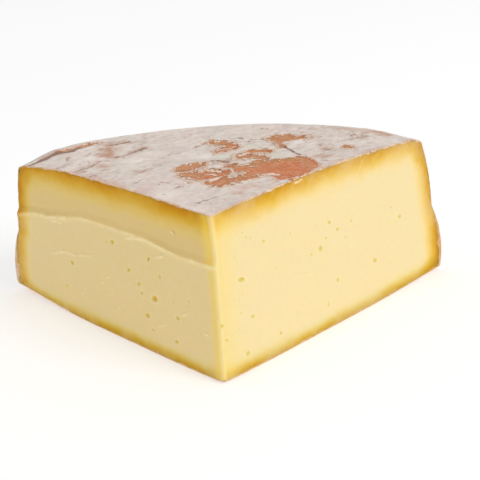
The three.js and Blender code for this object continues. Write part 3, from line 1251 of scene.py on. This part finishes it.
def dry_creases() -> list[Stroke]:
    """Creases in the dried bloom, brown and darkened with painted shade."""
    return [
        Stroke(1.7, 1.4, ((-90, 92), (-85.4, 94.8), (-80.5, 98.2), (-76.3, 99.6), (-72, 100.4))),
        Stroke(1.3, 1.0, ((-72, 100.4), (-68, 103.2), (-62, 110))),
        Stroke(0.8, 0.7, ((-65.2, 99.2), (-62.1, 100.1), (-54.6, 100.9))),
        Stroke(1.1, 0.85, ((-55.1, 104.6), (-49.9, 106.7), (-46.7, 108.5), (-44.7, 110.4))),
        Stroke(1.5, 0.85, ((-47.5, 87.1), (-45, 88.1), (-42.7, 91.3), (-37.8, 95.5), (-35.9, 98.5))),
        Stroke(0.9, 0.65, ((-37, 92.8), (-33.3, 93.9), (-29.9, 92), (-28, 94.7))),
        Stroke(0.8, 0.65, ((-74.4, 76.5), (-68.4, 78.5), (-64.1, 77.8))),
        Stroke(1.1, 0.7, ((-64.1, 65.3), (-59.5, 71.4), (-57.5, 75.3), (-55.2, 81.4))),
        Stroke(1.2, 0.75, ((-55.7, 56.7), (-52.3, 60.8), (-49.4, 61.5), (-45.6, 63.1))),
        Stroke(0.9, 0.65, ((-52.7, 63.2), (-52.1, 66.2), (-48.9, 65.5))),
        Stroke(0.9, 0.55, ((-46.4, 61.9), (-42, 58.4), (-35.8, 56.5))),
        Stroke(1.0, 0.7, ((-35.4, 42.9), (-33.6, 45.1), (-32.5, 48.2), (-30.1, 48.4))),
        Stroke(1.0, 0.75, ((-33.6, 59.3), (-31.8, 60.9), (-28.9, 62.7))),
        Stroke(0.9, 0.65, ((-24.8, 43.5), (-21.8, 41.8), (-18.7, 39.5))),
        Stroke(0.9, 0.85, ((-16.5, 34.7), (-14.3, 36.8))),
        Stroke(0.8, 0.55, ((-30.1, 70.1), (-26.9, 69), (-23.6, 65.5))),
        Stroke(0.9, 0.6, ((-74, 92.3), (-72, 93.6), (-68.2, 93.5))),
        Stroke(0.8, 0.6, ((-61.2, 83.1), (-60.4, 79.3), (-60.2, 76.5))),
        Stroke(0.8, 0.6, ((-43.4, 79), (-44.6, 85), (-43.2, 86.6))),
        Stroke(0.9, 0.7, ((-11.3, 95.5), (-9, 97.2), (-6.6, 99.4))),
        Stroke(1.3, 0.85, ((-3.1, 69), (-0.9, 69.3), (1.5, 67.9), (3.2, 64.9), (4.9, 65.5))),
        Stroke(1.0, 0.8, ((5.4, 106.2), (9.1, 106.5), (12.8, 103.9), (21.3, 101))),
        Stroke(0.9, 0.8, ((17.7, 106.3), (18.9, 103.4), (21.4, 104.2))),
        Stroke(0.8, 1.1, ((32.2, 83.7), (35.4, 75.5), (38.2, 69.7))),
        Stroke(0.9, 0.7, ((-6, 15.5), (-2, 17), (2, 20.5))),
        Stroke(0.8, 0.6, ((42, 101), (47, 99), (52, 100))),
        Stroke(0.9, 0.75, ((49.2, 75.8), (51.5, 76.2))),
    ]


def pale_flakes() -> list[Stroke]:
    """Thick cream flakes of bloom along and across the worn places."""
    return [
        Stroke(1.1, 1.0, ((-13.8, 54.8), (-9.4, 56.5), (-6.1, 57.5), (-2.2, 54.6), (1.9, 51.8))),
        Stroke(0.8, 1.0, ((-11.5, 54.5), (-9.2, 51.8), (-7, 53.5))),
        Stroke(1.0, 1.0, ((-11.5, 44.5), (-6.5, 41.7), (-1.8, 42.8), (2.9, 44.8), (6.3, 47.1),
                          (10.7, 46.3))),
        Stroke(0.8, 1.0, ((-1.7, 39.8), (0.4, 41.6), (2.1, 43.4))),
        Stroke(1.0, 0.9, ((-13.7, 48.7), (-13.2, 46.5), (-11.5, 44.5))),
        Stroke(1.1, 1.0, ((0.1, 85.7), (3, 88.5), (6, 89.5), (8.4, 91.6))),
        Stroke(0.9, 0.9, ((24.3, 97.6), (26.6, 93.8), (28.3, 90.6))),
        Stroke(1.0, 1.0, ((10.1, 74.4), (13, 77.4), (18.9, 75.6), (23.2, 72.5), (24.3, 69.3))),
        Stroke(0.8, 0.9, ((6, 68.3), (10.6, 68.1), (14.2, 66.8))),
        Stroke(0.9, 0.95, ((20.2, 41.9), (22.1, 43.6), (24.5, 44.2), (28.3, 40.8))),
        Stroke(0.7, 0.9, ((7.4, 34.3), (9.9, 36), (12, 33))),
        Stroke(0.7, 0.85, ((8.8, 58.5), (11.5, 60.2), (15.1, 60.2))),
        Stroke(0.7, 0.85, ((-6, 48), (-3, 50), (0, 48))),
        Stroke(0.7, 0.85, ((30, 36), (34, 37), (38, 42))),
        Stroke(0.7, 0.8, ((14, 58), (16, 56), (19, 57))),
    ]


def warm_stains() -> list[Stroke]:
    """Broad pinkish brown stains round the creases and the worn places."""
    return [
        Stroke(3.0, 0.75, ((-84, 97), (-74, 102), (-66, 108))),
        Stroke(4.2, 1.1, ((-53.7, 106), (-53.4, 95.5), (-52.5, 86.6), (-51.5, 74))),
        Stroke(2.2, 0.6, ((-55, 105), (-46, 109))),
        Stroke(2.5, 0.65, ((-47, 87), (-42, 91.5), (-36, 98))),
        Stroke(2.6, 0.7, ((-55, 58), (-50, 63), (-46, 63))),
        Stroke(2.0, 0.5, ((-63, 66), (-57, 76))),
        Stroke(2.0, 0.7, ((-33.5, 60), (-29, 62))),
        Stroke(2.6, 0.9, ((73, 107), (78, 104.5), (82, 100.5))),
        Stroke(1.4, 0.9, ((49, 79), (51.5, 78))),
        Stroke(2.4, 0.9, ((0.5, 84.5), (4, 87), (8, 91.5))),
        Stroke(1.8, 1.0, ((14.8, 79.5), (18.5, 78.8), (23.3, 77.3))),
        Stroke(2.2, 0.7, ((-5, 69), (3, 66), (9, 69))),
        Stroke(2.5, 0.6, ((12.9, 29), (17, 28.5))),
        Stroke(1.6, 0.9, ((8.7, 22.3), (10.5, 23), (11.8, 21.5))),
        Stroke(2.2, 0.8, ((45.7, 66.1), (50.7, 65.7))),
        Stroke(3.5, 0.4, ((42, 102), (50, 98))),
        Stroke(3.0, 0.5, ((60, 112), (72, 106))),
        Stroke(2.0, 0.5, ((44, 46), (58, 60), (75, 77), (90, 92))),
        Stroke(2.5, 0.6, ((-38, 133), (-24, 137), (-10, 139))),
        Stroke(2.0, 0.5, ((-24, 24), (-38, 39), (-52, 53))),
    ]


def soft_spots() -> dict[str, tuple[tuple[float, float, float], ...]]:
    """Soft round tinges of the bloom, as plan places and half widths in millimetres."""
    return {
        "pink": ((13, 30, 5), (26, 33, 4), (-45, 49, 7), (-30, 36, 5), (3, 12, 5), (3, 84, 4)),
        "speckled": ((1, 67, 5), (7, 61, 4), (-8, 57, 5), (13, 99, 5), (10, 43, 4), (2, 92, 5),
                     (66, 98, 7), (-14, 37, 3), (50, 84, 4)),
        "mouldy": ((15, 87, 6), (21, 83, 5), (5, 74, 5), (26, 71, 4), (8.5, 48.5, 3)),
        "pale": ((-38, 77, 6), (-33, 90, 3), (-20, 27, 5), (-60, 88, 5), (-6, 76, 5), (40, 92, 4)),
    }


@dataclass
class Rind(Piece):
    """The rind: outer skin with its bloom, rolled in at the cuts and closed behind the paste."""

    name: str = "rind"
    slot: str = "rind"
    cells: int = 42
    rows: int = 20
    cuts: int = 4
    lip_proud: float = 0.1 * MM
    lip_worn: float = 0.12 * MM
    tuck: float = 5 * MM
    bloom_height: float = 0.32 * MM
    curl_height: float = 0.6 * MM
    crease_depth: float = 0.3 * MM
    blots: list[Blot] = field(default_factory=worn_blots)
    tinges: list[Stroke] = field(default_factory=tan_tinges)
    creases: list[Stroke] = field(default_factory=dry_creases)
    flakes: list[Stroke] = field(default_factory=pale_flakes)
    stains: list[Stroke] = field(default_factory=warm_stains)
    spots: dict[str, tuple[tuple[float, float, float], ...]] = field(default_factory=soft_spots)

    def build(self) -> bpy.types.Object:
        """Builds the rind and dresses it.

        Returns:
            The finished piece.
        """
        block = UnitBlock(self.cells, self.rows)
        block.refine([Zone.TOP, Zone.SIDE], self.cuts)
        block.open_cuts()
        block.bend(self.form, 0.0)
        mesh = block.mesh
        mesh.normal_update()
        self._dress(mesh)
        self._roll_edges(mesh)
        grid_layer = mesh.verts.layers.float_vector[GRID_LAYER]
        for vert in mesh.verts:
            vert.co = self.form.shifted(vert.co)
        bmesh.ops.recalc_face_normals(mesh, faces=mesh.faces)
        mesh.verts.layers.float_vector.remove(grid_layer)
        piece = self.finished(mesh, RindFinish(self.effects))
        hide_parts(NODE)
        return piece

    def _dress(self, mesh: BMesh) -> None:
        """Raises the bloom and keeps the colour values of the skin."""
        layers = mesh.verts.layers
        grid_layer = layers.float_vector[GRID_LAYER]
        names = ("bare", "brown", "crease", "flake_and_edge_highlight", "dotted", "stain", "mould", "pale", "shade",
                 "puckered", "blush", "flank", "edge", "flaky")
        stores = {name: layers.float.new(name) for name in names}
        moves = []
        for vert in mesh.verts:
            grid = vert[grid_layer]
            values, relief = self._skin(vert.co, vert.normal, grid)
            for name, value in values.items():
                vert[stores[name]] = value
            outward = vert.normal.copy()
            if grid.y < TINY:
                outward -= Cut.LEFT.along * outward.dot(Cut.LEFT.along)
            if grid.x < TINY:
                outward -= Cut.RIGHT.along * outward.dot(Cut.RIGHT.along)
            moves.append(outward * relief)
        for vert, move in zip(mesh.verts, moves):
            vert.co += move

    def _skin(self, point: Vector, normal: Vector, grid: Vector) -> tuple[dict[str, float], float]:
        """Colour values and relief of the skin at a point.

        Args:
            point: the point.
            normal: the surface's direction there.
            grid: its place in the unit block.

        Returns:
            The values by name, and how far the surface is raised.
        """
        on_top = ease(0.45, 0.8, normal.z)
        values = self._top_values(point) if on_top > 0 else {}
        values = {name: value * on_top for name, value in values.items()}
        on_side = 1 - ease(0.35, 0.75, abs(normal.z))
        under = ease(-0.4, -0.8, normal.z)
        values["flank"] = max(on_side * self._bare_side(point), 0.85 * under)
        wrinkle = ripple(Vector((point.x, point.y, 2.2 * point.z)), 6 * MM, 3, 1.0)
        right, left = self.form.polar(point)
        pucker = 1 - min(1.0, 3 * abs(ripple(Vector((0.4 * right, left, point.z)), 11 * MM, 3, 6.0)))
        worn = ease(0.46, 0.58, values.get("bare", 0.0))
        folds = 0.5 + values.get("puckered", 0.0)
        relief = self.bloom_height * (0.3 * wrinkle - 0.6 * folds * pucker - 0.9 * worn)
        bare = values.get("bare", 0.0)
        loose = max(0.0, 0.6 + 1.2 * ripple(point, 5 * MM, 2, 5.0))
        relief += self.curl_height * ease(0.32, 0.43, bare) * ease(0.51, 0.45, bare) * loose
        relief -= self.crease_depth * ease(0.45, 0.95, values.get("crease", 0.0))
        relief -= 0.1 * MM * values["flank"] * abs(ripple(point, 3 * MM, 2, 8.0))
        return values, relief * (1.0 - under * 0.8)

    def _top_values(self, point: Vector) -> dict[str, float]:
        """Colour values of the upper face at a point."""
        plan = (point - self.form.axis) / MM
        bend = Vector((ripple(point, 8 * MM, 3, 11.0), ripple(point, 8 * MM, 3, 12.0)))
        place = Vector((plan.x, plan.y)) + 1.1 * bend
        depth, brown = -6.0, 0.0
        for blot in self.blots:
            inside = blot.depth(place)
            if inside > depth:
                depth, brown = inside, blot.brown
        from_cut = min(plan.y - plan.x, plan.y + plan.x) / math.sqrt(2)
        return {
            "bare": 0.5 + depth / 12,
            "brown": min(1.0, max(brown, self._drawn(self.tinges, place))),
            "crease": self._drawn(self.creases, place),
            # Pale flakes, and a painted highlight along the top edge at the cuts.
            "flake_and_edge_highlight": max(self._drawn(self.flakes, place), 0.66 * ease(1.5, 0.2, from_cut)),
            "flaky": ease(2, 4, from_cut),
            "dotted": max(self._spotted("speckled", place), 0.1 * ease(-20, 10, place.x)),
            "stain": self._drawn(self.stains, place),
            "mould": self._spotted("mouldy", place),
            "pale": max(0.8 * self._spotted("pale", place), 0.6 * ease(5, 0.6, plan.y + plan.x)),
            "shade": ease(-60, -76, plan.x) * ease(132.5, 136.5, math.hypot(plan.x, plan.y)),
            "puckered": max(ease(-10, -60, plan.x), 0.5 * ease(12, 40, plan.x)),
            "blush": max(0.9 * self._spotted("pink", place), 0.8 * ease(6, 1, from_cut)),
            "edge": 0.35 * ease(1.6, 0.3, from_cut),
        }

    @staticmethod
    def _drawn(strokes: Sequence[Stroke], place: Vector) -> float:
        """The strongest of some strokes at a place."""
        return max(stroke.value(place) for stroke in strokes)

    def _spotted(self, kind: str, place: Vector) -> float:
        """The strongest soft spot of a kind at a plan place."""
        spots = self.spots[kind]
        return max(math.exp(-((place.x - x) ** 2 + (place.y - y) ** 2) / size ** 2) for x, y, size in spots)

    def _bare_side(self, point: Vector) -> float:
        """How much of the bloom is rubbed off the side at a point."""
        stretched = Vector((point.x, point.y, 1.8 * point.z))
        return ease(-0.35, 0.35, ripple(stretched, 26 * MM, 4, 17.0)) * 0.85 + 0.1

    def _roll_edges(self, mesh: BMesh) -> None:
        """Turns the open rim in at the cuts, tucks it behind the paste and closes it there."""
        layers = mesh.verts.layers
        grid_layer = layers.float_vector[GRID_LAYER]
        edge_store = layers.float["edge"]
        rim = [e for e in mesh.edges if e.is_boundary]
        for vert in {v for e in rim for v in e.verts}:
            vert[edge_store] = max(vert[edge_store], 0.35)
            vert.co = self._beside_cut(vert.co, vert[grid_layer], self.lip_worn)
        steps = ((0.35, -self.lip_proud), (1.0, self.lip_proud), (1.0, self.tuck))
        for inset, behind in steps:
            made = bmesh.ops.extrude_edge_only(mesh, edges=rim)["geom"]
            rim = [e for e in made if isinstance(e, BMEdge)]
            for vert in (v for v in made if isinstance(v, BMVert)):
                grid = vert[grid_layer]
                uneven = max(0.75, 1 + 0.8 * ripple(self.form.place(grid), 4 * MM, 3, 21.0))
                vert[edge_store] = 1.0
                vert.co = self._beside_cut(self.form.place(grid, inset * uneven), grid, behind)
        self._close(mesh, rim)

    @staticmethod
    def _beside_cut(point: Vector, grid: Vector, behind: float) -> Vector:
        """A rim point moved behind its cut, or out of it if the distance is negative."""
        moved = point.copy()
        if grid.y < TINY:
            moved += Cut.LEFT.along * behind
        if grid.x < TINY:
            moved += Cut.RIGHT.along * behind
        return moved

    @staticmethod
    def _close(mesh: BMesh, rim: Sequence[BMEdge]) -> None:
        """Closes the tucked rim with one hidden face behind each cut."""
        grid_layer = mesh.verts.layers.float_vector[GRID_LAYER]
        corners = [v for v in {v for e in rim for v in e.verts} if v[grid_layer].xy.length < TINY]
        upright = bmesh.ops.contextual_create(mesh, geom=corners)["edges"][0]
        for axis in (0, 1):
            loop = [e for e in rim if all(v[grid_layer][axis] < TINY for v in e.verts)]
            bmesh.ops.contextual_create(mesh, geom=[*loop, upright])


@dataclass
class Crumbs(Piece):
    """Loose flakes of rind and paste that the knife left along the edges."""

    name: str = "crumbs"
    slot: str = "rind"
    seed: int = 11
    along_right: int = 60
    along_left: int = 16
    on_top: int = 55
    heaps: tuple[int, ...] = (38, 48, 55, 80, 105, 111, 118)
    heap_spread: float = 3.5
    top_middle: tuple[float, float] = (16, 56)
    top_spread: tuple[float, float] = (20, 16)
    sizes: tuple[float, float] = (0.18 * MM, 0.45 * MM)
    growth_right: float = 1.2

    def build(self) -> bpy.types.Object:
        """Scatters the crumbs.

        Returns:
            The finished piece, all crumbs in one mesh.
        """
        mesh = bmesh.new()
        dice = Random(self.seed)
        for _ in range(self.along_right):
            radius = dice.gauss(dice.choice(self.heaps), self.heap_spread)
            place = self._on_edge(Cut.RIGHT, radius * MM, dice)
            self._crumb(mesh, dice, place + Cut.LEFT.along * (-0.5 * MM), self.growth_right)
        for _ in range(self.along_left):
            self._crumb(mesh, dice, self._on_edge(Cut.LEFT, dice.uniform(5, 130) * MM, dice))
        for _ in range(self.on_top):
            x, y = (dice.gauss(*one) for one in zip(self.top_middle, self.top_spread))
            if abs(x) < y - 2:
                self._crumb(mesh, dice, self._on_face(x * MM, y * MM))
        return self.finished(mesh, CrumbFinish(self.effects))

    def _on_edge(self, cut: Cut, radius: float, dice: Random) -> Vector:
        """A place just inside the upper edge of a cut."""
        inward = Cut.LEFT.along if cut is Cut.RIGHT else Cut.RIGHT.along
        aside = dice.uniform(0.1, 0.9) * MM
        flat = cut.along * radius + inward * aside
        angle = 0.0 if cut is Cut.RIGHT else math.pi / 2
        return self.form.shifted(self.form.axis + flat + Vector((0, 0, self.form.top(radius, angle))))

    def _on_face(self, x: float, y: float) -> Vector:
        """A place on the upper face, from its plan place about the axis."""
        angle = math.atan2(y, x) - math.radians(Cut.RIGHT.value)
        radius = math.hypot(x, y)
        return self.form.axis + Vector((x, y, self.form.top(radius, angle)))

    def _crumb(self, mesh: BMesh, dice: Random, place: Vector, growth: float = 1.0) -> None:
        """Adds one flattened, uneven crumb at a place, larger or smaller by its growth."""
        size = dice.uniform(*self.sizes) * growth
        turn = Matrix.Rotation(dice.uniform(0, math.tau), 4, "Z")
        stretch = [dice.uniform(*ends) for ends in ((0.8, 1.5), (0.7, 1.0), (0.4, 0.7))]
        squash = Matrix.Diagonal((*stretch, 1))
        matrix = Matrix.Translation(place) @ turn @ squash
        made = bmesh.ops.create_icosphere(mesh, subdivisions=2, radius=size, matrix=matrix)["verts"]
        for vert in made:
            away = vert.co - place
            vert.co = place + away * (1 + 0.35 * ripple(vert.co, 0.5 * MM, 2, 3.0))


@dataclass
class Studio:
    """Pale floor, soft light, and the camera at the photograph's angle."""

    form: WheelForm
    lens: float = 73.703
    camera_place: Vector = field(default_factory=lambda: Vector((20.23, -361.29, 205.79)) * MM)
    heading: float = 91.5826
    pitch: float = 21.2997
    roll: float = -3.4609
    sky: float = 0.635
    key_place: Vector = field(default_factory=lambda: Vector((2.0, -1.44, 2.0)))
    key_size: float = 1.4
    key_watts: float = 29.5
    floor_size: float = 4.0
    floor_grey: float = 0.75
    floor_glow: float = 0.4

    def build(self) -> None:
        """Builds the floor, the lights and the camera."""
        self._floor()
        self._sky()
        self._key_light()
        self._camera()
        bpy.context.scene.view_settings.view_transform = "Standard"

    def _floor(self) -> None:
        """A wide, plain white floor."""
        mesh = bmesh.new()
        bmesh.ops.create_grid(mesh, x_segments=1, y_segments=1, size=self.floor_size)
        data = bpy.data.meshes.new("floor")
        mesh.to_mesh(data)
        mesh.free()
        made = bpy.data.materials.new("floor")
        made.use_nodes = True
        shader = made.node_tree.nodes["Principled BSDF"]
        shader.inputs["Base Color"].default_value = (*[self.floor_grey] * 3, 1)
        shader.inputs["Roughness"].default_value = 0.9
        shader.inputs["Emission Color"].default_value = (1, 1, 1, 1)
        shader.inputs["Emission Strength"].default_value = self.floor_glow
        data.materials.append(made)
        floor = bpy.data.objects.new("floor", data)
        bpy.context.scene.collection.objects.link(floor)

    def _sky(self) -> None:
        """Even white light from all round."""
        world = bpy.data.worlds.new("studio")
        world.use_nodes = True
        background = world.node_tree.nodes["Background"]
        background.inputs["Color"].default_value = (1.0, 1.0, 1.0, 1)
        background.inputs["Strength"].default_value = self.sky
        sheet = SheetOfNodes(world.node_tree)
        backdrop = sheet.add("ShaderNodeBackground", {"Color": (1.0, 1.0, 1.0, 1)}).outputs[0]
        seen = sheet.add("ShaderNodeLightPath").outputs["Is Camera Ray"]
        both = sheet.add("ShaderNodeMixShader", {0: seen, 1: background.outputs[0], 2: backdrop}).outputs[0]
        sheet.join(both, world.node_tree.nodes["World Output"], "Surface")
        bpy.context.scene.world = world

    def _key_light(self) -> None:
        """A square soft light at the right, which looks at the cheese."""
        data = bpy.data.lights.new("key light", "AREA")
        data.energy = self.key_watts
        data.size = self.key_size
        lamp = bpy.data.objects.new("key light", data)
        lamp.location = self.key_place
        lamp.rotation_euler = (-self.key_place).to_track_quat("-Z", "Y").to_euler()
        bpy.context.scene.collection.objects.link(lamp)

    def _camera(self) -> None:
        """The camera, placed from the foot of the corner edge."""
        heading, pitch, roll = (math.radians(a) for a in (self.heading, self.pitch, self.roll))
        forward = Vector((
            math.cos(heading) * math.cos(pitch), math.sin(heading) * math.cos(pitch), -math.sin(pitch)))
        level = Vector((math.sin(heading), -math.cos(heading), 0))
        upright = level.cross(forward)
        right = level * math.cos(roll) + upright * math.sin(roll)
        up = upright * math.cos(roll) - level * math.sin(roll)
        data = bpy.data.cameras.new("camera")
        data.lens = self.lens
        data.clip_start = 0.01
        camera = bpy.data.objects.new("camera", data)
        turn = Matrix((right, up, -forward)).transposed().to_4x4()
        camera.matrix_world = Matrix.Translation(self.form.axis + self.camera_place) @ turn
        bpy.context.scene.collection.objects.link(camera)
        bpy.context.scene.camera = camera


def main() -> None:
    """Builds the studio and then each piece in turn."""
    logging.basicConfig(level=logging.INFO, format="%(name)s: %(message)s")
    form = WheelForm.from_frame()
    effects = SharedEffects()
    Studio(form).build()
    for maker in (Paste(form, effects), Rind(form, effects), Crumbs(form, effects)):
        maker.build()


if __name__ == "__main__":
    main()
